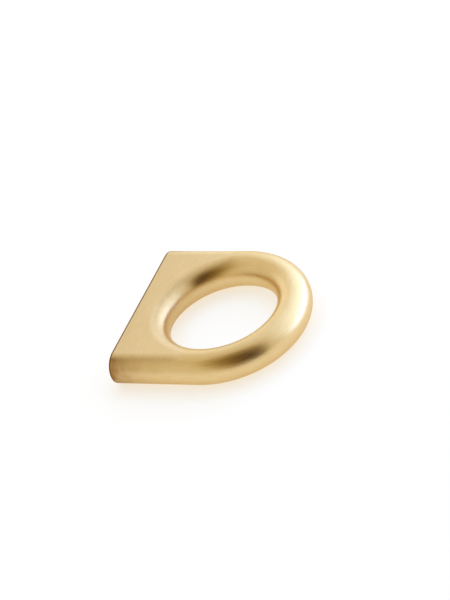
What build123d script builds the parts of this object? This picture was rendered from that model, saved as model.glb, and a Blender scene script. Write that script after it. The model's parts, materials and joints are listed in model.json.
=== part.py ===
from build123d import *

import math
import os

# A cabinet handle made from one piece of brass. From above it is a D: a flat back that sits on the cabinet
# front, two straight arms, and half a ring of round bar, about a round opening for a finger.
# The bar is as thick as the handle, so every edge of the D and of the opening is rounded over fully, and
# only the two faces behind the opening are flat.
# The origin is the middle of the flat back. The handle stands out along -Y and Z runs through its thickness.

# Driving dimensions, in millimetres and degrees
bar_diameter = 10.0           # round bar of the ring, which is the thickness of the whole handle
opening_diameter = 32.0       # round finger opening, at its narrowest
web_depth = 9.8               # metal between the back and the opening, on the centre line
back_edge_round = 0.6         # small round on the edge of the flat back
screw_spacing = 32.0          # between the two screw holes
tap_diameter = 3.3            # drilled hole for an M4 thread
tap_depth = 12.0              # full-width depth of each blind screw hole
mouth_diameter = 4.4          # countersunk mouth that leads the screw in
mouth_angle = 90.0            # cone of the mouth, from side to side
drill_point_angle = 118.0     # cone that the drill leaves at the bottom of the hole
cut_overshoot = 1.0           # how far a cut runs past the faces that it opens

# Sizes that follow from them
bar_radius = bar_diameter / 2
opening_radius = opening_diameter / 2
ring_radius = opening_radius + bar_radius
overall_width = 2 * (ring_radius + bar_radius)
opening_distance = web_depth + opening_radius
tap_radius = tap_diameter / 2
drill_point_depth = tap_radius / math.tan(math.radians(drill_point_angle / 2))

# Planes and axes that the features share
back_plane = Plane(origin=(0, 0, 0), x_dir=(-1, 0, 0), z_dir=(0, 1, 0))
ring_plane = Plane.XZ.offset(opening_distance)
opening_axis = Axis((0, -opening_distance, 0), (0, 0, -1))

with BuildPart() as handle:
    # Back and arms: the outline of the back, a slot with full-round ends, drawn out to the opening's middle
    with BuildSketch(Plane.XZ):
        SlotOverall(overall_width, bar_diameter)
    extrude(amount=opening_distance)

    # Finger opening: all that lies within the round of the bar, turned about the opening's axis
    with BuildSketch(ring_plane):
        with Locations((ring_radius / 2, 0)):
            Rectangle(ring_radius, bar_diameter + 2 * cut_overshoot)
        with Locations((ring_radius, 0)):
            Circle(bar_radius, mode=Mode.SUBTRACT)
    revolve(axis=opening_axis, mode=Mode.SUBTRACT)

    # Front of the ring: the round bar, turned half way about the same axis
    with BuildSketch(ring_plane):
        with Locations((ring_radius, 0)):
            Circle(bar_radius)
    revolve(axis=opening_axis, revolution_arc=180)

    # Edge of the flat back, broken so that it isn't sharp
    back_face = handle.faces().sort_by(Axis.Y)[-1]
    fillet(back_face.outer_wire().edges(), radius=back_edge_round)

    # Blind screw holes in the back, each with a countersunk mouth and the drill's cone at its end
    with Locations(back_plane):
        with GridLocations(screw_spacing, 0, 2, 1):
            CounterSinkHole(tap_radius, mouth_diameter / 2, depth=tap_depth, counter_sink_angle=mouth_angle)
            with Locations((0, 0, -tap_depth)):
                Cone(
                    tap_radius,
                    0,
                    drill_point_depth,
                    rotation=(180, 0, 0),
                    align=(Align.CENTER, Align.CENTER, Align.MIN),
                    mode=Mode.SUBTRACT,
                )

handle.part.label = "handle"

os.makedirs("parts", exist_ok=True)
export_step(handle.part, "parts/handle.step")
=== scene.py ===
"""A brushed brass cabinet handle around its CAD frame: its mesh, its finish, and the studio that shows it."""

import json
import math

import bmesh
import bpy
from bpy.props import FloatProperty, FloatVectorProperty, IntProperty, PointerProperty
from bpy.types import NodeSocket, Operator, Panel, PropertyGroup
from mathutils import Matrix, Vector


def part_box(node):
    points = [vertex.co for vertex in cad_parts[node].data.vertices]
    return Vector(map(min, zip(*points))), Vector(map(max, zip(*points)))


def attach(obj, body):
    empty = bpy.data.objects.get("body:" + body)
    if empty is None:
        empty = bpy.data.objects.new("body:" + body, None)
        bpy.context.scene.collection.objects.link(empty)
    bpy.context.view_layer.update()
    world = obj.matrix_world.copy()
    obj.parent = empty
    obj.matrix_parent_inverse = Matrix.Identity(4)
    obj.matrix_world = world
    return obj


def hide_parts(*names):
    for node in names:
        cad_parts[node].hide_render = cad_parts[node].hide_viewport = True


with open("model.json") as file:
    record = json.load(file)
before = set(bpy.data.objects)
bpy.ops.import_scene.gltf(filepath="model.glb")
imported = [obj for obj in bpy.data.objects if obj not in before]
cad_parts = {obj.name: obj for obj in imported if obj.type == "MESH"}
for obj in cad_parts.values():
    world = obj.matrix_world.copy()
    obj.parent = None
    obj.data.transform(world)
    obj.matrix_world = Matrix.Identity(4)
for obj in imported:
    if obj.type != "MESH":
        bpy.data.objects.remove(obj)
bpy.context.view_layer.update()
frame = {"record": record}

bl_info = {
    "name": "Brass cabinet handle",
    "version": (1, 0, 0),
    "blender": (4, 5, 0),
    "location": "View3D > Sidebar > Brass handle",
    "description": "Models a D-shaped cabinet handle in brushed brass, and a small studio for it",
    "category": "Add Mesh",
}

# What the CAD frame says about the handle, in metres
LOW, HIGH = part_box("handle")
SCREW_HOLES = next(mount for mount in frame["record"]["mounts"] if mount["name"] == "screw_holes")
BODY = "root"

# Units, and the picture's frame in pixels
MM = 0.001
PICTURE_WIDTH = 450
PICTURE_HEIGHT = 600
SENSOR_WIDTH = 36

# Distances under which points count as one, or as lying on a plane or a line
WELD_DISTANCE = 0.0005 * MM
TOLERANCE = 0.01 * MM

# Angle from which an edge is shaded sharp, and squared height of the normal of a level face
SHARP_ANGLE = math.radians(35)
LEVEL_NORMAL = 0.9999

# Thread: where its crest ends and its root starts, in half pitches, and the turns left plain at its end
CREST_END = 0.25
ROOT_START = 0.875
PLAIN_TURNS = 2

# Names that the mesh and its material share
STROKES_MAP = "strokes"
FLAT_SHARE = "flat_share"

# Where the straight strokes fade: angles down the rounds, and a distance behind the opening's middle
STRAIGHT_TO = math.radians(20)
STRAIGHT_END = math.radians(48)
STRAIGHT_BLEND = 7 * MM

# Fine strokes against coarse ones: shares of their length, of their width and of the joint height
FINE_LENGTH = 0.6
FINE_WIDTH = 0.25
FINE_SHARE = 0.4

# Noise of the strokes, and the heights between which it changes the roughness
STROKE_DETAIL = 3.0
STROKE_ROUGHNESS = 0.6
LOW_STROKE = 0.3
HIGH_STROKE = 0.7
ROUGHNESS_CHANGE = 0.04

# Added to noise, whose mean is a half, so that it multiplies by one in the mean
HALF = 0.5

# Clouds of tone: their number in a millimetre, their detail, and what the darkest leaves of the colour
CLOUD_SCALE = 0.16
CLOUD_DETAIL = 2.0
CLOUD_TONE = (0.93, 0.91, 0.86)

# Painted shade near the back, a brown tone that stands in for the dark reflection of the shaded floor behind
# it: heights, in bar radii, where the flats end and the rounds start, and its share on flats and back
FLATS_END = 0.995
ROUNDS_START = 0.85
FLAT_PAINTED_SHADE = 0.1
BACK_PAINTED_SHADE = 0.2

# Blotches in the painted shade near the back: their number in a millimetre, and their detail
BLOTCH_SCALE = 0.45
BLOTCH_DETAIL = 3.0

# Painted dark edge of the back, a painted dark reflection on its round: where it starts, is full, fades and
# ends, in radii of its round from the back
EDGE_START = 1.4
EDGE_FULL = 0.95
EDGE_FADE = 0.4
EDGE_END = 0.05

# Quarter turn, which lays the blur of the reflections across the strokes
ACROSS_STROKES = 0.25

# Faces around the floor and the light tent, and the rays that find the floor's shade
FLOOR_STEPS = 96
TENT_STEPS = 64
TENT_ROWS = 32
SHADE_SAMPLES = 8


# Settings


class HandleShape(PropertyGroup):
    """Sizes of the handle, taken from the CAD frame where it has them."""

    width: FloatProperty(
        name="Width", description="Overall width, along the flat back", default=HIGH.x - LOW.x, unit="LENGTH"
    )
    reach: FloatProperty(
        name="Reach",
        description="From the flat back to the front of the ring",
        default=HIGH.y - LOW.y,
        unit="LENGTH",
    )
    thickness: FloatProperty(
        name="Thickness",
        description="Thickness, which is the ring's bar",
        default=HIGH.z - LOW.z,
        unit="LENGTH",
    )
    back_round: FloatProperty(
        name="Back edge round",
        description="Small round on the edge of the back",
        default=0.6 * MM,
        unit="LENGTH",
    )
    screw_spacing: FloatProperty(
        name="Screw spacing",
        description="Distance between the two screw holes",
        default=SCREW_HOLES["dims"]["spacing_x_mm"] * MM,
        unit="LENGTH",
    )
    tap_radius: FloatProperty(
        name="Tapping radius",
        description="Radius of the screw holes at the crest of the thread",
        default=SCREW_HOLES["dims"]["hole_r_mm"] * MM,
        unit="LENGTH",
    )
    tap_depth: FloatProperty(
        name="Tapping depth",
        description="Full-width depth of the screw holes",
        default=12.0 * MM,
        unit="LENGTH",
    )
    mouth_depth: FloatProperty(
        name="Mouth depth",
        description="Depth of the cone that leads into a screw hole",
        default=-SCREW_HOLES["pos_m"][1],
        unit="LENGTH",
    )
    drill_point: FloatProperty(
        name="Drill point",
        description="Angle of the cone at a hole's end",
        default=math.radians(118),
        unit="ROTATION",
    )
    thread_pitch: FloatProperty(
        name="Thread pitch",
        description="Distance from one turn of the thread to the next",
        default=0.7 * MM,
        unit="LENGTH",
    )
    thread_depth: FloatProperty(
        name="Thread depth",
        description="From the thread's crest to its root",
        default=0.35 * MM,
        unit="LENGTH",
    )
    bar_segments: IntProperty(
        name="Bar segments", description="Faces around the bar, a multiple of 4", default=96, min=16, step=4
    )
    ring_steps: IntProperty(
        name="Ring steps", description="Faces along half of the ring", default=128, min=16
    )
    arm_steps: IntProperty(
        name="Arm steps", description="Faces along each straight arm", default=26, min=1
    )
    edge_steps: IntProperty(
        name="Edge steps", description="Faces across the round on the edge of the back", default=5, min=1
    )
    hole_steps: IntProperty(
        name="Hole steps", description="Faces around each screw hole", default=48, min=12
    )
    thread_rows: IntProperty(
        name="Thread rows", description="Faces along one pitch of the thread", default=12, min=6
    )

    @property
    def bar(self):
        """Radius of the bar."""
        return self.thickness / 2

    @property
    def ring(self):
        """Radius of the ring, to the middle of its bar."""
        return self.width / 2 - self.bar

    @property
    def mouth_radius(self):
        """Radius of a screw hole's mouth at the back, with sides at 45 degrees."""
        return self.tap_radius + self.mouth_depth

    @property
    def hole_depth(self):
        """Depth of a screw hole to the tip of its drill point."""
        return self.tap_depth + self.tap_radius / math.tan(self.drill_point / 2)

    @property
    def middle(self):
        """Middle of the finger opening."""
        return Vector((0, self.width / 2 - self.reach, 0))


class BrassFinish(PropertyGroup):
    """Colour and brushing of the brass."""

    colour: FloatVectorProperty(
        name="Colour",
        description="Colour of the clean brass",
        default=(0.82, 0.61, 0.30),
        size=3,
        subtype="COLOR",
    )
    glancing_tint: FloatVectorProperty(
        name="Glancing tint",
        description="Tint of the reflection at a glancing angle, where bare metal is white",
        default=(0.90, 0.83, 0.70),
        size=3,
        subtype="COLOR",
    )
    # Painted dark edge: a dark brown line on the round of the back's edge that stands in for a dark
    # reflection there
    edge_colour: FloatVectorProperty(
        name="Edge colour",
        description="Colour of the darkened back edge",
        default=(0.20, 0.085, 0.014),
        size=3,
        subtype="COLOR",
    )
    # Painted shade near the back: a brown tone on the rounds that stands in for the dark reflection of the
    # shaded floor behind the back
    patina_colour: FloatVectorProperty(
        name="Painted_shade colour",
        description="Colour of the patina on the rounds near the back",
        default=(0.31, 0.138, 0.031),
        size=3,
        subtype="COLOR",
    )
    patina_reach: FloatProperty(
        name="Painted_shade reach",
        description="Distance from the back over which the patina falls to about a third",
        default=6.5 * MM,
        unit="LENGTH",
    )
    patina_strength: FloatProperty(
        name="Painted_shade strength",
        description="Share of the patina's colour at the back",
        default=0.9,
        min=0,
        max=2,
    )
    stroke_contrast: FloatProperty(
        name="Stroke contrast",
        description="How much the strokes differ in colour",
        default=0.45,
        min=0,
        max=1,
        subtype="FACTOR",
    )
    roughness: FloatProperty(
        name="Roughness",
        description="Mean roughness of the brushed rounds",
        default=0.31,
        min=0,
        max=1,
        subtype="FACTOR",
    )
    flat_roughness: FloatProperty(
        name="Flat roughness",
        description="Mean roughness of the brushed flats",
        default=0.6,
        min=0,
        max=1,
        subtype="FACTOR",
    )
    anisotropy: FloatProperty(
        name="Anisotropy",
        description="How much more the strokes blur across than along",
        default=0.5,
        min=0,
        max=1,
        subtype="FACTOR",
    )
    stroke_length: FloatProperty(
        name="Stroke length", description="Length of a coarse brush stroke", default=5.0 * MM, unit="LENGTH"
    )
    stroke_width: FloatProperty(
        name="Stroke width", description="Width of a coarse brush stroke", default=0.22 * MM, unit="LENGTH"
    )
    stroke_height: FloatProperty(
        name="Stroke height",
        description="Depth of the brushing",
        default=0.014 * MM,
        unit="LENGTH",
        precision=6,
    )


def panel_settings(colour, azimuth, elevation, distance, size, soft_sides, soft_ends, turn=0):
    """The settings that every panel has, with one panel's own defaults; angles are given in degrees."""
    return {
        "colour": FloatVectorProperty(
            name="Colour", description="Colour of the panel", default=colour, size=3, subtype="COLOR"
        ),
        "azimuth": FloatProperty(
            name="Azimuth",
            description="Turn of the panel's middle from -Y",
            default=math.radians(azimuth),
            unit="ROTATION",
        ),
        "elevation": FloatProperty(
            name="Elevation",
            description="Height of the panel's middle",
            default=math.radians(elevation),
            unit="ROTATION",
        ),
        "distance": FloatProperty(
            name="Distance", description="From the opening to the panel", default=distance, unit="LENGTH"
        ),
        "size": FloatVectorProperty(
            name="Size", description="Width and height of the panel", default=size, size=2, unit="LENGTH"
        ),
        "turn": FloatProperty(
            name="Turn",
            description="Turn of the panel about its own axis",
            default=math.radians(turn),
            unit="ROTATION",
        ),
        "soft_sides": FloatVectorProperty(
            name="Soft sides",
            description="Share of the width over which the left and right edges fade",
            default=soft_sides,
            size=2,
        ),
        "soft_ends": FloatVectorProperty(
            name="Soft ends",
            description="Share of the height over which the bottom and top edges fade",
            default=soft_ends,
            size=2,
        ),
    }


def lamp_settings(strength, **defaults):
    """The settings of a panel that glows, with its own defaults."""
    light = FloatProperty(
        name="Strength", description="Light of the panel, where 1 is white", default=strength, min=0
    )
    return {"strength": light, **panel_settings(**defaults)}


class Backdrop(PropertyGroup):
    """Pale panel behind the handle, which brightens the flats and the far outline."""

    __annotations__ = lamp_settings(
        strength=1.36,
        colour=(0.88, 0.92, 1.0),
        azimuth=137.7,
        elevation=14.5,
        distance=1.0,
        size=(1.787, 0.577),
        soft_sides=(0.41, 0.41),
        soft_ends=(0.02, 0.1),
    )


class SoftBox(PropertyGroup):
    """Large bluish panel at the right, which is the main light."""

    __annotations__ = lamp_settings(
        strength=4.0,
        colour=(0.47, 0.625, 1.0),
        azimuth=63,
        elevation=31.6,
        distance=0.8,
        size=(3.706, 2.076),
        soft_sides=(0.5, 0.5),
        soft_ends=(0.47, 0.9),
    )


class StripLight(PropertyGroup):
    """Low bluish strip at the right, which makes the highlight on the ring's right end."""

    __annotations__ = lamp_settings(
        strength=10.2,
        colour=(0.34, 0.45, 1.0),
        azimuth=49,
        elevation=0.1,
        distance=0.7,
        size=(1.376, 0.325),
        soft_sides=(0.4, 0.4),
        soft_ends=(0.4, 0.4),
    )


class DarkFlag(PropertyGroup):
    """Brown gel on the camera's side, which makes the two dark reflections on the ring."""

    __annotations__ = panel_settings(
        colour=(0.045, 0.016, 0.0003),
        azimuth=-65.4,
        elevation=44.8,
        distance=0.55,
        size=(0.85, 1.548),
        soft_sides=(0.86, 0.32),
        soft_ends=(0.056, 0.62),
        turn=26.7,
    )


class Studio(PropertyGroup):
    """Floor, light tent, panels and camera."""

    floor_colour: FloatVectorProperty(
        name="Floor",
        description="Colour of the matt floor under the light",
        default=(0.30, 0.305, 0.30),
        size=3,
        subtype="COLOR",
    )
    floor_glow: FloatVectorProperty(
        name="Floor glow",
        description="White that the floor adds of its own",
        default=(0.78, 0.78, 0.78),
        size=3,
        subtype="COLOR",
    )
    # Painted shade on the floor: close to the brass the glow turns to this warm colour, a painted contact
    # shadow with painted warm light off the brass
    shade_colour: FloatVectorProperty(
        name="Floor shade",
        description="What is left of the floor's own white under the brass",
        default=(0.74, 0.66, 0.53),
        size=3,
        subtype="COLOR",
    )
    shade_reach: FloatProperty(
        name="Shade reach",
        description="How far from the brass the floor's white is shaded",
        default=6 * MM,
        unit="LENGTH",
    )
    tent_colour: FloatVectorProperty(
        name="Tent",
        description="Colour of the light tent",
        default=(0.835, 0.785, 0.675),
        size=3,
        subtype="COLOR",
    )
    tent_radius: FloatProperty(
        name="Tent radius", description="Radius of the light tent and its floor", default=2.5, unit="LENGTH"
    )
    backdrop: PointerProperty(name="Backdrop", description="Pale panel behind", type=Backdrop)
    soft_box: PointerProperty(name="Soft box", description="Main light", type=SoftBox)
    strip_light: PointerProperty(name="Strip light", description="Light of the highlight", type=StripLight)
    dark_flag: PointerProperty(name="Dark flag", description="Brown gel", type=DarkFlag)
    azimuth: FloatProperty(
        name="Azimuth",
        description="Camera's turn about the vertical, from -Y",
        default=math.radians(-56.12),
        unit="ROTATION",
    )
    elevation: FloatProperty(
        name="Elevation",
        description="Camera's height above the horizon",
        default=math.radians(36.38),
        unit="ROTATION",
    )
    roll: FloatProperty(
        name="Roll",
        description="Camera's tilt about its own axis",
        default=math.radians(-21.26),
        unit="ROTATION",
    )
    distance: FloatProperty(
        name="Distance",
        description="From the camera to the opening's middle",
        default=0.742,
        unit="LENGTH",
    )
    lens: FloatProperty(
        name="Lens", description="Focal length in millimetres", default=157.35, min=1, unit="CAMERA"
    )
    opening_at: FloatVectorProperty(
        name="Opening at",
        description="Where the opening's middle falls in the picture, in pixels",
        default=(223.81, 316.71),
        size=2,
    )


def direction(azimuth, elevation):
    """Unit vector towards an azimuth, from -Y towards +X, and an elevation, in radians."""
    level = math.cos(elevation)
    return Vector((math.sin(azimuth) * level, -math.cos(azimuth) * level, math.sin(elevation)))


def smooth_step(low, high, value):
    """0 below low, 1 above high, and a smooth rise between them."""
    share = min(max((value - low) / (high - low), 0), 1)
    return share * share * (3 - 2 * share)


# The handle's mesh


def middle_of(element):
    """Mean place of an edge's or a face's corners."""
    return sum((vertex.co for vertex in element.verts), Vector()) / len(element.verts)


def edges_of(geometry):
    """The edges among what a bmesh operator returns."""
    return [element for element in geometry if isinstance(element, bmesh.types.BMEdge)]


def vertices_of(geometry):
    """The vertices among what a bmesh operator returns."""
    return [element for element in geometry if isinstance(element, bmesh.types.BMVert)]


def once(elements):
    """The elements in their order, each of them once."""
    return list(dict.fromkeys(elements))


def spin_about_opening(bm, shape, edges, angle):
    """Turn edges about the opening's axis."""
    vertices = once(vertex for edge in edges for vertex in edge.verts)
    bmesh.ops.spin(
        bm, geom=vertices + edges, cent=shape.middle, axis=(0, 0, 1), angle=angle, steps=shape.ring_steps
    )


def add_bar_circle(bm, shape, side):
    """The bar's circle at one side of the ring, and its edges."""
    place = Matrix.Translation(shape.middle + Vector((side * shape.ring, 0, 0)))
    stand_up = Matrix.Rotation(math.pi / 2, 4, "X")
    circle = bmesh.ops.create_circle(
        bm, segments=shape.bar_segments, radius=shape.bar, matrix=place @ stand_up
    )
    return once(edge for vertex in circle["verts"] for edge in vertex.link_edges)


def add_ring(bm, shape, circle):
    """The right-hand circle turned half way round the front, and its inner half half way round the back."""
    spin_about_opening(bm, shape, circle, -math.pi)
    inner = [edge for edge in circle if middle_of(edge).x < shape.ring]
    spin_about_opening(bm, shape, inner, math.pi)


def add_arm(bm, shape, circle):
    """The outer half of a circle of the ring, drawn straight to the flat back."""
    outer = [edge for edge in circle if abs(middle_of(edge).x) > shape.ring]
    step = Vector((0, -shape.middle.y / shape.arm_steps, 0))
    for _ in range(shape.arm_steps):
        drawn = bmesh.ops.extrude_edge_only(bm, edges=outer)["geom"]
        bmesh.ops.translate(bm, verts=vertices_of(drawn), vec=step)
        outer = [e for e in edges_of(drawn) if abs(e.verts[0].co.y - e.verts[1].co.y) < TOLERANCE]


def add_flats(bm, shape):
    """The two flat faces behind the opening, each closed along the back by one edge."""
    for side in (1, -1):
        level = shape.bar - TOLERANCE
        rim = [e for e in bm.edges if e.is_boundary and all(v.co.z * side > level for v in e.verts)]
        ends = once(v for e in rim for v in e.verts if abs(v.co.y) < TOLERANCE)
        back_edge = bm.edges.new(ends)
        bmesh.ops.edgeloop_fill(bm, edges=rim + [back_edge])


def add_back(bm, shape):
    """The flat back, with a small round on its edge and an open place for the screw holes; gives its rim."""
    rim = [e for e in bm.edges if e.is_boundary]
    bmesh.ops.edgeloop_fill(bm, edges=rim)
    bmesh.ops.recalc_face_normals(bm, faces=bm.faces)
    bmesh.ops.bevel(
        bm,
        geom=rim,
        offset=shape.back_round,
        offset_type="OFFSET",
        affect="EDGES",
        segments=shape.edge_steps,
        profile=0.5,
        material=-1,
    )
    back = max(bm.faces, key=lambda face: middle_of(face).y)
    rim = list(back.edges)
    bmesh.ops.delete(bm, geom=[back], context="FACES_ONLY")
    return rim


def thread_share(turns):
    """Depth of an M thread's groove, from 0 at the crest to 1 at the root, after so many turns."""
    wave = 1 - abs(2 * (turns % 1) - 1)
    return min(max((wave - CREST_END) / (ROOT_START - CREST_END), 0), 1)


def vertices_in_hole(bm, shape, x):
    """The vertices of the screw hole whose axis is at x."""
    radius = shape.mouth_radius + TOLERANCE
    depth = shape.hole_depth + TOLERANCE
    return [v for v in bm.verts if math.hypot(v.co.x - x, v.co.z) < radius and v.co.y > -depth]


def add_screw_hole(bm, shape, x):
    """A blind tapped hole in the back, spun from a profile of mouth, wall and drill point; gives its rim."""
    profile = (
        (shape.mouth_radius, 0),
        (shape.tap_radius, shape.mouth_depth),
        (shape.tap_radius, shape.tap_depth),
        (0, shape.hole_depth),
    )
    vertices = [bm.verts.new((x + radius, -depth, 0)) for radius, depth in profile]
    edges = [bm.edges.new(pair) for pair in zip(vertices, vertices[1:])]
    wall = edges[1]
    wall_rows = round((shape.tap_depth - shape.mouth_depth) / shape.thread_pitch * shape.thread_rows)
    bmesh.ops.subdivide_edges(bm, edges=[wall], cuts=wall_rows - 1)
    vertices = vertices_in_hole(bm, shape, x)
    edges = once(edge for vertex in vertices for edge in vertex.link_edges)
    bmesh.ops.spin(
        bm,
        geom=vertices + edges,
        cent=(x, 0, 0),
        axis=(0, 1, 0),
        angle=2 * math.pi,
        steps=shape.hole_steps,
        use_merge=True,
    )
    hole = vertices_in_hole(bm, shape, x)
    cut_thread(shape, x, hole)
    mouth = [vertex for vertex in hole if abs(vertex.co.y) < TOLERANCE]
    return once(e for v in mouth for e in v.link_edges if all(abs(c.co.y) < TOLERANCE for c in e.verts))


def cut_thread(shape, x, hole):
    """Press the thread into the wall of the screw hole whose axis is at x."""
    last_turn = shape.tap_depth - PLAIN_TURNS * shape.thread_pitch
    for vertex in hole:
        depth = -vertex.co.y
        out = Vector((vertex.co.x - x, 0, vertex.co.z))
        on_wall = abs(out.length - shape.tap_radius) < TOLERANCE
        if on_wall:
            turns = -depth / shape.thread_pitch - math.atan2(out.x, out.z) / (2 * math.pi)
            run_out = 1 - smooth_step(last_turn - shape.thread_pitch, last_turn, depth)
            vertex.co += out.normalized() * shape.thread_depth * thread_share(turns) * run_out


def stroke_place(shape, vertex, face):
    """Where a corner lies along and across the brush strokes of its face, in millimetres."""
    at = vertex.co
    centre = middle_of(face)
    screw_x = math.copysign(shape.screw_spacing / 2, centre.x)
    from_axis = math.hypot(centre.x - screw_x, centre.z)
    in_hole = from_axis < shape.mouth_radius and -shape.hole_depth < centre.y < -TOLERANCE
    if in_hole:
        turn = math.atan2(at.z, at.x - screw_x)
        if math.atan2(centre.z, centre.x - screw_x) - turn > math.pi:
            turn += 2 * math.pi
        return shape.tap_radius * turn / MM, at.y / MM
    on_back = centre.y > -TOLERANCE
    if on_back:
        return at.x / MM, at.z / MM
    # A flat is one level face with many corners, where a level face of the rounds has four
    on_flat = face.normal.z ** 2 > LEVEL_NORMAL and len(face.verts) > 4
    if on_flat:
        return at.x / MM, at.y / MM
    return round_place(shape, at, centre)


def round_place(shape, at, centre):
    """Where a corner of a face on the rounds lies along the outline and around the bar, in millimetres."""
    from_middle = at - shape.middle
    from_middle.z = 0
    face_from_middle = centre - shape.middle
    face_from_middle.z = 0
    on_arm = face_from_middle.y > 0 and face_from_middle.length > shape.ring
    if on_arm:
        along = from_middle.y if centre.x > 0 else -math.pi * shape.ring - from_middle.y
        outward = abs(at.x) - shape.ring
    else:
        turn = math.atan2(from_middle.y, from_middle.x)
        if turn > 0 and face_from_middle.y < 0:
            turn -= 2 * math.pi
        if turn < 0 and face_from_middle.y > 0:
            turn += 2 * math.pi
        along = turn * shape.ring
        outward = from_middle.length - shape.ring
    section = math.atan2(at.z, outward)
    if section > 0 and centre.z < 0 and outward < 0:
        section -= 2 * math.pi
    return along / MM, section * shape.bar / MM


def flat_share(shape, at):
    """How far the straight strokes of the flats reach at a point: 1 on the flats, 0 well down the rounds."""
    from_top = math.acos(min(abs(at.z) / shape.bar, 1))
    behind = at.y - shape.middle.y
    on_top = 1 - smooth_step(STRAIGHT_TO, STRAIGHT_END, from_top)
    return on_top * smooth_step(0, STRAIGHT_BLEND, behind) * smooth_step(0, shape.back_round, -at.y)


def mark_strokes(bm, shape):
    """A UV map along and across the strokes, and the share of the straight strokes at each point."""
    strokes = bm.loops.layers.uv.new(STROKES_MAP)
    share = bm.verts.layers.float.new(FLAT_SHARE)
    for vertex in bm.verts:
        vertex[share] = flat_share(shape, vertex.co)
    for face in bm.faces:
        for loop in face.loops:
            loop[strokes].uv = stroke_place(shape, loop.vert, face)


def settle_order(bm):
    """Put edges and faces in the order of their corners, so that every run makes the same mesh."""
    bm.verts.index_update()
    for elements in (bm.edges, bm.faces):
        in_order = sorted(elements, key=lambda element: sorted(v.index for v in element.verts))
        for index, element in enumerate(in_order):
            element.index = index
        elements.sort()


def handle_mesh(shape):
    """The whole handle as one closed mesh."""
    bm = bmesh.new()
    left = add_bar_circle(bm, shape, -1)
    add_arm(bm, shape, left)
    right = add_bar_circle(bm, shape, 1)
    add_arm(bm, shape, right)
    add_ring(bm, shape, right)
    bmesh.ops.remove_doubles(bm, verts=bm.verts, dist=WELD_DISTANCE)
    add_flats(bm, shape)
    rims = add_back(bm, shape)
    for side in (-1, 1):
        rims = rims + add_screw_hole(bm, shape, side * shape.screw_spacing / 2)
    bmesh.ops.triangle_fill(bm, edges=rims, use_beauty=True, normal=(0, 1, 0))
    bmesh.ops.remove_doubles(bm, verts=bm.verts, dist=WELD_DISTANCE)
    bmesh.ops.recalc_face_normals(bm, faces=bm.faces)
    if not all(edge.is_manifold for edge in bm.edges):
        raise RuntimeError("the handle's mesh is not closed")
    settle_order(bm)
    mark_strokes(bm, shape)
    for face in bm.faces:
        face.smooth = True
    for edge in bm.edges:
        edge.smooth = edge.calc_face_angle() < SHARP_ANGLE
    mesh = bpy.data.meshes.new("brass_handle")
    bm.to_mesh(mesh)
    bm.free()
    return mesh


# Materials


def add_node(tree, kind, inputs=None, **settings):
    """A new shader node; an input that is given a socket is linked to it, and any other is set."""
    node = tree.nodes.new("ShaderNode" + kind)
    for name, value in settings.items():
        setattr(node, name, value)
    for name, value in (inputs or {}).items():
        if isinstance(value, NodeSocket):
            tree.links.new(value, node.inputs[name])
        else:
            node.inputs[name].default_value = value
    return node


def new_material(name):
    """An empty node material and its output node."""
    material = bpy.data.materials.new(name)
    material.use_nodes = True
    material.node_tree.nodes.clear()
    return material, add_node(material.node_tree, "OutputMaterial")


def opaque(colour):
    """A colour with full alpha."""
    return (*colour, 1)


def math_node(tree, operation, *values, clamp=False):
    """The value of a math node."""
    return add_node(tree, "Math", dict(enumerate(values)), operation=operation, use_clamp=clamp).outputs[0]


def scale_vector(tree, vector, scale):
    """A vector or a colour times a number."""
    return add_node(tree, "VectorMath", {0: vector, "Scale": scale}, operation="SCALE").outputs[0]


# A Mix node has sockets of its own for each kind of data, so they are given by number


def mix_values(tree, share, first, second):
    """A number between first and second."""
    return add_node(tree, "Mix", {0: share, 2: first, 3: second}, data_type="FLOAT").outputs[0]


def mix_vectors(tree, share, first, second):
    """A vector between first and second."""
    return add_node(tree, "Mix", {0: share, 4: first, 5: second}, data_type="VECTOR").outputs[1]


def mix_colours(tree, share, first, second):
    """A colour between first and second."""
    return add_node(tree, "Mix", {0: share, 6: first, 7: second}, data_type="RGBA").outputs[2]


def smooth_range(tree, value, low, high):
    """0 at low, 1 at high, and a smooth rise between them."""
    inputs = {"Value": value, "From Min": low, "From Max": high}
    return add_node(tree, "MapRange", inputs, interpolation_type="SMOOTHSTEP").outputs["Result"]


def cloud_noise(tree, place, scale, detail):
    """Soft noise in space."""
    inputs = {"Vector": place, "Scale": scale, "Detail": detail}
    return add_node(tree, "TexNoise", inputs, noise_dimensions="3D").outputs["Fac"]


def stroke_noise(tree, place, length, width):
    """Noise drawn out into strokes along the first part of place, which is in millimetres."""
    scale = (MM / length, MM / width, 1)
    stretched = add_node(tree, "Mapping", {"Vector": place, "Scale": scale}, vector_type="POINT").outputs[0]
    inputs = {"Vector": stretched, "Scale": 1.0, "Detail": STROKE_DETAIL, "Roughness": STROKE_ROUGHNESS}
    return add_node(tree, "TexNoise", inputs, noise_dimensions="2D").outputs["Fac"]


def stroke_relief(tree, flat_place, straight, finish):
    """Height of the coarse and fine strokes, straight on the flats and along the outline elsewhere."""
    outline_place = add_node(tree, "UVMap", uv_map=STROKES_MAP).outputs[0]

    def strokes(length, width):
        along_outline = stroke_noise(tree, outline_place, length, width)
        return mix_values(tree, straight, along_outline, stroke_noise(tree, flat_place, length, width))

    coarse = strokes(finish.stroke_length, finish.stroke_width)
    fine = strokes(finish.stroke_length * FINE_LENGTH, finish.stroke_width * FINE_WIDTH)
    return mix_values(tree, FINE_SHARE, coarse, fine)


def stroke_roughness(tree, height, straight, finish):
    """Roughness of the flats or of the rounds, a little higher on high strokes."""
    inputs = {
        "Value": height,
        "From Min": LOW_STROKE,
        "From Max": HIGH_STROKE,
        "To Min": -ROUGHNESS_CHANGE,
        "To Max": ROUGHNESS_CHANGE,
    }
    change = add_node(tree, "MapRange", inputs).outputs["Result"]
    return math_node(tree, "ADD", mix_values(tree, straight, finish.roughness, finish.flat_roughness), change)


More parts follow.
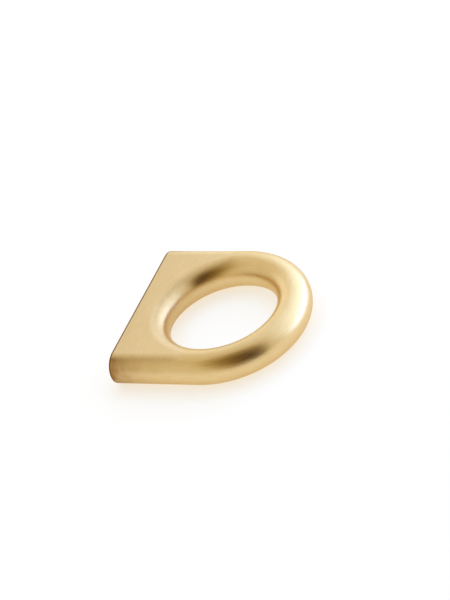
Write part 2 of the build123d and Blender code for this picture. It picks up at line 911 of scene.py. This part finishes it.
def stroke_tangent(tree, straight):
    """Direction of the strokes, straight across the flats and along the outline elsewhere."""
    along = add_node(tree, "Tangent", direction_type="UV_MAP", uv_map=STROKES_MAP).outputs[0]
    runs_right = math_node(tree, "GREATER_THAN", add_node(tree, "SeparateXYZ", {0: along}).outputs["X"], 0.0)
    across_flat = mix_vectors(tree, runs_right, (-1, 0, 0), (1, 0, 0))
    return mix_vectors(tree, straight, along, across_flat)


def painted_shade_share(tree, coordinates, place, off_back, finish, shape):
    """Share of the painted shade, a painted dark reflection of the shaded floor behind the back: most near
    the back, less towards the ring, and little on flat faces.
    """
    fall = math_node(tree, "EXPONENT", math_node(tree, "DIVIDE", place["Y"], finish.patina_reach))
    height = math_node(tree, "DIVIDE", math_node(tree, "ABSOLUTE", place["Z"]), shape.bar)
    round_share = mix_values(tree, smooth_range(tree, height, FLATS_END, ROUNDS_START), FLAT_PAINTED_SHADE, 1.0)
    share = math_node(tree, "MULTIPLY", fall, round_share)
    share = math_node(tree, "MULTIPLY", share, mix_values(tree, off_back, BACK_PAINTED_SHADE, 1.0))
    blotches = cloud_noise(tree, coordinates, BLOTCH_SCALE / MM, BLOTCH_DETAIL)
    share = math_node(tree, "MULTIPLY", share, math_node(tree, "ADD", blotches, HALF))
    return math_node(tree, "MULTIPLY", share, finish.patina_strength, clamp=True)


def brass_colour(tree, coordinates, flat_place, height, finish, shape):
    """Colour of the brass, with clouds of tone and strokes, painted shade near the back, and the back's
    painted dark edge.
    """
    place = add_node(tree, "SeparateXYZ", {0: coordinates}).outputs
    clouds = cloud_noise(tree, flat_place, CLOUD_SCALE, CLOUD_DETAIL)
    darkest = [channel * share for channel, share in zip(finish.colour, CLOUD_TONE)]
    colour = mix_colours(tree, clouds, opaque(finish.colour), opaque(darkest))
    stroke_shade = mix_values(tree, finish.stroke_contrast, 1.0, math_node(tree, "ADD", height, HALF))
    colour = scale_vector(tree, colour, stroke_shade)
    radius = shape.back_round
    off_back = smooth_range(tree, place["Y"], -EDGE_END * radius, -EDGE_FADE * radius)
    # Painted shade: a brown tone near the back, standing in for the dark reflection of the shaded floor
    # behind it
    painted_shade = painted_shade_share(tree, coordinates, place, off_back, finish, shape)
    colour = mix_colours(tree, painted_shade, colour, opaque(finish.patina_colour))
    # Painted dark edge: a painted dark reflection along the round of the back's edge
    near_back = smooth_range(tree, place["Y"], -EDGE_START * radius, -EDGE_FULL * radius)
    edge = math_node(tree, "MULTIPLY", near_back, off_back)
    return mix_colours(tree, edge, colour, opaque(finish.edge_colour))


def brushed_brass(finish, shape):
    """Satin brass, with straight strokes on the flats and strokes along the outline on the rounds."""
    material, output = new_material("brushed_brass")
    tree = material.node_tree
    coordinates = add_node(tree, "TexCoord").outputs["Object"]
    flat_place = scale_vector(tree, coordinates, 1 / MM)
    straight = add_node(tree, "Attribute", attribute_name=FLAT_SHARE).outputs["Fac"]
    height = stroke_relief(tree, flat_place, straight, finish)
    bump = add_node(tree, "Bump", {"Strength": 1.0, "Distance": finish.stroke_height, "Height": height})
    surface = add_node(
        tree,
        "BsdfPrincipled",
        {
            "Base Color": brass_colour(tree, coordinates, flat_place, height, finish, shape),
            "Metallic": 1.0,
            "Roughness": stroke_roughness(tree, height, straight, finish),
            "Specular Tint": opaque(finish.glancing_tint),
            "Anisotropic": finish.anisotropy,
            "Anisotropic Rotation": ACROSS_STROKES,
            "Normal": bump.outputs["Normal"],
            "Tangent": stroke_tangent(tree, straight),
        },
    )
    tree.links.new(surface.outputs[0], output.inputs["Surface"])
    return material


def floor_white(studio):
    """White for the floor: matt, with a glow of its own that is darkened and warmed near the brass as painted
    shade; it is left out when it is seen from below.
    """
    material, output = new_material("floor_white")
    tree = material.node_tree
    matt = add_node(tree, "BsdfDiffuse", {"Color": opaque(studio.floor_colour)}).outputs[0]
    path = add_node(tree, "LightPath").outputs
    seen = math_node(tree, "MAXIMUM", path["Is Camera Ray"], path["Is Glossy Ray"])
    seen = math_node(tree, "MAXIMUM", seen, path["Is Transmission Ray"])
    # Painted shade: near the brass the floor's glow is darkened by ambient occlusion towards the shade
    # colour, a painted contact shadow with painted warm light off the brass
    open_share = add_node(
        tree, "AmbientOcclusion", {"Distance": studio.shade_reach}, samples=SHADE_SAMPLES, only_local=False
    ).outputs["AO"]
    own_white = mix_colours(tree, open_share, opaque(studio.shade_colour), opaque(studio.floor_glow))
    glow = add_node(tree, "Emission", {"Color": own_white, "Strength": seen}).outputs[0]
    white = add_node(tree, "AddShader", {0: matt, 1: glow}).outputs[0]
    clear = add_node(tree, "BsdfTransparent").outputs[0]
    below = add_node(tree, "NewGeometry").outputs["Backfacing"]
    surface = add_node(tree, "MixShader", {0: below, 1: white, 2: clear}).outputs[0]
    tree.links.new(surface, output.inputs["Surface"])
    return material


def tent_cloth(studio):
    """The even glow of the light tent."""
    material, output = new_material("tent_cloth")
    tree = material.node_tree
    light = add_node(tree, "Emission", {"Color": opaque(studio.tent_colour), "Strength": 1.0}).outputs[0]
    tree.links.new(light, output.inputs["Surface"])
    return material


def panel_share(tree, panel):
    """1 on a panel, and a fade to 0 towards its edges."""
    place = add_node(tree, "SeparateXYZ", {0: add_node(tree, "TexCoord").outputs["UV"]}).outputs
    left, right = panel.soft_sides
    bottom, top = panel.soft_ends
    share = smooth_range(tree, place["X"], 0, left)
    share = math_node(tree, "MULTIPLY", share, smooth_range(tree, place["X"], 1, 1 - right))
    share = math_node(tree, "MULTIPLY", share, smooth_range(tree, place["Y"], 0, bottom))
    return math_node(tree, "MULTIPLY", share, smooth_range(tree, place["Y"], 1, 1 - top))


def glowing_cloth(name, panel):
    """Cloth that glows and fades out towards the panel's edges."""
    material, output = new_material(name)
    tree = material.node_tree
    light = add_node(tree, "Emission", {"Color": opaque(panel.colour), "Strength": panel.strength}).outputs[0]
    clear = add_node(tree, "BsdfTransparent").outputs[0]
    cloth = add_node(tree, "MixShader", {0: panel_share(tree, panel), 1: clear, 2: light}).outputs[0]
    tree.links.new(cloth, output.inputs["Surface"])
    return material


def brown_gel(name, panel):
    """A gel that takes away more and more of the tent's light from its edges to its middle."""
    material, output = new_material(name)
    tree = material.node_tree
    share = panel_share(tree, panel)
    through = []
    for channel in panel.colour:
        log_share = math_node(tree, "MULTIPLY", share, math.log(channel))
        through.append(math_node(tree, "EXPONENT", log_share))
    colour = add_node(tree, "CombineColor", dict(enumerate(through))).outputs[0]
    gel = add_node(tree, "BsdfTransparent", {"Color": colour}).outputs[0]
    tree.links.new(gel, output.inputs["Surface"])
    return material


# Objects


def new_object(name, mesh, material):
    """An object in the scene, at the origin."""
    mesh.materials.append(material)
    obj = bpy.data.objects.new(name, mesh)
    bpy.context.scene.collection.objects.link(obj)
    return obj


class BRASS_OT_make_handle(Operator):
    """Model the handle and give it its brushed finish"""

    bl_idname = "brass_handle.make_handle"
    bl_label = "Make the handle"

    def execute(self, context):
        scene = context.scene
        handle = new_object(
            "brass_handle",
            handle_mesh(scene.handle_shape),
            brushed_brass(scene.brass_finish, scene.handle_shape),
        )
        normals = handle.modifiers.new("even_normals", "WEIGHTED_NORMAL")
        normals.keep_sharp = True
        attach(handle, BODY)
        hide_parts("handle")
        return {"FINISHED"}


def floor_disc(bm, radius, place):
    """The round floor under the handle."""
    bmesh.ops.create_circle(bm, cap_ends=True, segments=FLOOR_STEPS, radius=radius, matrix=place)


def tent_dome(bm, radius, place):
    """The light tent, half a sphere over the floor."""
    bmesh.ops.create_uvsphere(bm, u_segments=TENT_STEPS, v_segments=TENT_ROWS, radius=radius, matrix=place)
    geometry = list(bm.verts) + list(bm.edges) + list(bm.faces)
    bmesh.ops.bisect_plane(
        bm, geom=geometry, plane_co=place.translation, plane_no=(0, 0, 1), clear_inner=True
    )


def panel_sheet(bm, half_size, place):
    """A panel's flat sheet, with a UV map from corner to corner."""
    bm.loops.layers.uv.verify()
    bmesh.ops.create_grid(bm, x_segments=1, y_segments=1, size=half_size, matrix=place, calc_uvs=True)


def stage_mesh(name, build, size, place):
    """A mesh for the stage, filled by one of the three functions above."""
    bm = bmesh.new()
    build(bm, size, place)
    mesh = bpy.data.meshes.new(name)
    bm.to_mesh(mesh)
    bm.free()
    return mesh


def facing(place, target):
    """Matrix of a thing at place whose -Z points at target."""
    return Matrix.Translation(place) @ (target - place).to_track_quat("-Z", "Y").to_matrix().to_4x4()


def add_panel(name, panel, cloth, target):
    """A panel that lights the object or darkens its reflections, and that the camera doesn't see."""
    place = facing(target + direction(panel.azimuth, panel.elevation) * panel.distance, target)
    turn = Matrix.Rotation(panel.turn, 4, "Z")
    spread = Matrix.Diagonal((panel.size[0] / 2, panel.size[1] / 2, 1, 1))
    sheet = stage_mesh(name, panel_sheet, 1, place @ turn @ spread)
    obj = new_object(name, sheet, cloth(name, panel))
    obj.visible_camera = False


def add_camera(studio, middle):
    """The camera, turned and tilted as the photograph was taken."""
    back = direction(studio.azimuth, studio.elevation)
    level = Vector((math.cos(studio.azimuth), math.sin(studio.azimuth), 0))
    upright = back.cross(level)
    right = level * math.cos(studio.roll) + upright * math.sin(studio.roll)
    up = upright * math.cos(studio.roll) - level * math.sin(studio.roll)
    data = bpy.data.cameras.new("camera")
    data.sensor_width = SENSOR_WIDTH
    data.lens = studio.lens
    pixel = studio.distance * data.sensor_width / data.lens / PICTURE_HEIGHT
    aside = (PICTURE_WIDTH / 2 - studio.opening_at[0]) * pixel
    above = (studio.opening_at[1] - PICTURE_HEIGHT / 2) * pixel
    place = Matrix.Translation(middle + back * studio.distance + right * aside + up * above)
    camera = bpy.data.objects.new("camera", data)
    camera.matrix_world = place @ Matrix((right, up, back)).transposed().to_4x4()
    bpy.context.scene.collection.objects.link(camera)
    bpy.context.scene.camera = camera


class BRASS_OT_make_studio(Operator):
    """Lay the floor, set up the light tent, its lamps and the brown gel, and place the camera"""

    bl_idname = "brass_handle.make_studio"
    bl_label = "Make the studio"

    def execute(self, context):
        scene = context.scene
        studio = scene.studio
        middle = scene.handle_shape.middle
        under = Matrix.Translation((0, middle.y, LOW.z - 2 * TOLERANCE))
        floor_sheet = stage_mesh("floor", floor_disc, studio.tent_radius, under)
        floor = new_object("floor", floor_sheet, floor_white(studio))
        tent_sheet = stage_mesh("light_tent", tent_dome, studio.tent_radius, under)
        tent = new_object("light_tent", tent_sheet, tent_cloth(studio))
        tent.visible_camera = False
        add_panel("backdrop", studio.backdrop, glowing_cloth, middle)
        add_panel("soft_box", studio.soft_box, glowing_cloth, middle)
        add_panel("strip_light", studio.strip_light, glowing_cloth, middle)
        add_panel("dark_flag", studio.dark_flag, brown_gel, middle)

        world = bpy.data.worlds.new("white")
        world.use_nodes = True
        world.node_tree.nodes["Background"].inputs["Color"].default_value = (1, 1, 1, 1)
        scene.world = world
        scene.view_settings.view_transform = "Standard"
        add_camera(studio, middle)
        return {"FINISHED"}


def list_settings(layout, settings):
    """A box with the settings of a group, and a box inside it for each group that it holds."""
    box = layout.box()
    for name in settings.__annotations__:
        value = getattr(settings, name)
        if isinstance(value, PropertyGroup):
            box.label(text=settings.bl_rna.properties[name].name)
            list_settings(box, value)
        else:
            box.prop(settings, name)


class BRASS_PT_panel(Panel):
    """Sizes, finish and studio of the handle, with a button for each step"""

    bl_label = "Brass handle"
    bl_idname = "BRASS_PT_panel"
    bl_space_type = "VIEW_3D"
    bl_region_type = "UI"
    bl_category = "Brass handle"

    def draw(self, context):
        for name in SETTINGS:
            list_settings(self.layout, getattr(context.scene, name))
        for operator in (BRASS_OT_make_handle, BRASS_OT_make_studio):
            self.layout.operator(operator.bl_idname)


# Registration

CLASSES = (
    HandleShape,
    BrassFinish,
    Backdrop,
    SoftBox,
    StripLight,
    DarkFlag,
    Studio,
    BRASS_OT_make_handle,
    BRASS_OT_make_studio,
    BRASS_PT_panel,
)
SETTINGS = {"handle_shape": HandleShape, "brass_finish": BrassFinish, "studio": Studio}


def register():
    """Register the classes and put their settings on the scene."""
    for cls in CLASSES:
        bpy.utils.register_class(cls)
    for name, group in SETTINGS.items():
        setattr(bpy.types.Scene, name, PointerProperty(type=group))


def unregister():
    """Take the settings off the scene and unregister the classes."""
    for name in SETTINGS:
        delattr(bpy.types.Scene, name)
    for cls in reversed(CLASSES):
        bpy.utils.unregister_class(cls)


def main():
    """Build the handle and its studio."""
    register()
    bpy.ops.brass_handle.make_handle()
    bpy.ops.brass_handle.make_studio()


if __name__ == "__main__":
    main()
